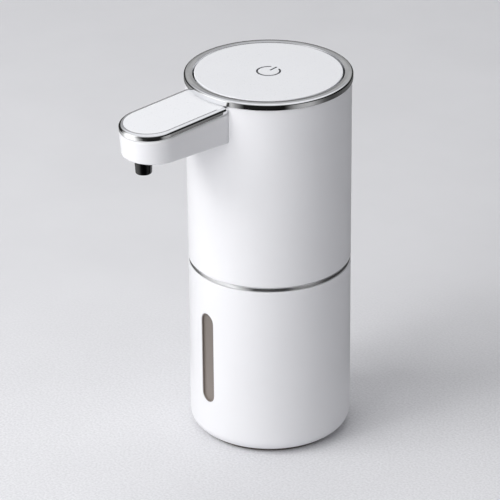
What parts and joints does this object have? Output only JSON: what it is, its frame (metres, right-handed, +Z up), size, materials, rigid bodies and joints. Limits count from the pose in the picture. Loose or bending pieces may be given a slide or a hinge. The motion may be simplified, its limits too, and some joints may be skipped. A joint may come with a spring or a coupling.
{
  "type": "automatic foam soap dispenser",
  "caption": "Upright cylindrical foam soap dispenser with a bottle, a lift-off pump head, a touch-free spout, a pressable top panel and a charging flap.",
  "frame": {"origin": "centre of the foot pad's underside, on the body's axis", "axes": "+Z up along the body's axis, -Y toward the spout's tip"},
  "size_m": [0.0792, 0.1238, 0.1844],
  "materials": {
    "white_plastic": "satin white moulded plastic",
    "smoke_plastic": "smoky clear plastic, glossy",
    "rubber_black": "black rubber",
    "chrome": "bright chrome plating",
    "natural_plastic": "natural moulded plastic",
    "steel": "plated steel",
    "silicone": "pale silicone rubber",
    "brass": "bare brass",
    "black_plastic": "black moulded plastic",
    "cell_wrap": "blue shrink wrap on a steel cell",
    "board": "green circuit board",
    "dark_lens": "dark infrared lens",
    "mark_grey": "grey printed mark",
    "copper_winding": "enamelled copper on a steel core"
  },
  "bodies": {
    "bottle": {"bottle_sleeve": "white_plastic", "soap_tank": "smoke_plastic", "window_lens": "smoke_plastic", "foot_pad": "rubber_black"},
    "head": {"seam_ring": "chrome", "head_shell": "white_plastic", "pump_deck": "natural_plastic", "neck_seal": "rubber_black", "deck_screws": "steel", "vent_valve": "silicone", "dip_tube": "natural_plastic", "strainer": "white_plastic", "suction_tube": "silicone", "pump_feet": "rubber_black", "pump_cover": "natural_plastic", "valve_plate": "silicone", "diaphragm": "rubber_black", "pump_housing": "natural_plastic", "pump_screws": "steel", "motor_can": "steel", "motor_bush": "brass", "motor_magnets": "black_plastic", "motor_end_bell": "white_plastic", "motor_terminals": "brass", "motor_screws": "steel", "motor_leads": "black_plastic", "outlet_tube": "silicone", "cell_cradle": "black_plastic", "battery_cell": "cell_wrap", "cell_tabs": "steel", "main_board": "board", "board_chips": "black_plastic", "board_screws": "steel", "usb_socket": "steel", "spout_body": "white_plastic", "spout_trim": "chrome", "spout_cover": "white_plastic", "spout_screws": "steel", "nozzle_tip": "black_plastic", "foam_screens": "steel", "nozzle_seal": "silicone", "nozzle_elbow": "natural_plastic", "sensor_window": "dark_lens", "sensor_board": "board", "infrared_pair": "black_plastic", "sensor_ribbon": "natural_plastic", "top_bezel": "chrome", "button_frame": "black_plastic", "panel_seal": "silicone", "switch_board": "board", "tact_switch": "black_plastic"},
    "button": {"top_panel": "white_plastic", "power_mark": "mark_grey", "switch_stem": "natural_plastic"},
    "rotor": {"armature": "copper_winding", "motor_shaft": "steel", "eccentric": "natural_plastic", "crank_pin": "steel"},
    "wobbler": {"wobble_plate": "white_plastic"},
    "flap": {"port_flap": "silicone"}
  },
  "joints": [
    {"name": "head_lift", "type": "slide", "parent": "bottle", "child": "head", "axis": [0, 0, 1], "range_m": [0, 0.09]},
    {"name": "button_press", "type": "slide", "parent": "head", "child": "button", "axis": [0, 0, -1], "range_m": [0, 0.0005], "stiffness_N_per_m": 4000, "springref_m": -0.0003, "deforming": ["panel_seal"]},
    {"name": "rotor_spin", "type": "hinge", "parent": "head", "child": "rotor", "pos_m": [0, -0.01322, 0.1258], "axis": [0, 0, 1], "continuous": true},
    {"name": "wobble_spin", "type": "hinge", "parent": "rotor", "child": "wobbler", "pos_m": [0, -0.01322, 0.1103], "axis": [0, -0.1045, 0.9945], "continuous": true},
    {"name": "flap_hinge", "type": "hinge", "parent": "head", "child": "flap", "pos_m": [0, 0.0383, 0.1087], "axis": [-1, 0, 0], "range_deg": [0, 90]}
  ],
  "couplings": [
    {"joint": "wobble_spin", "follows": "rotor_spin", "ratio": -1}
  ]
}
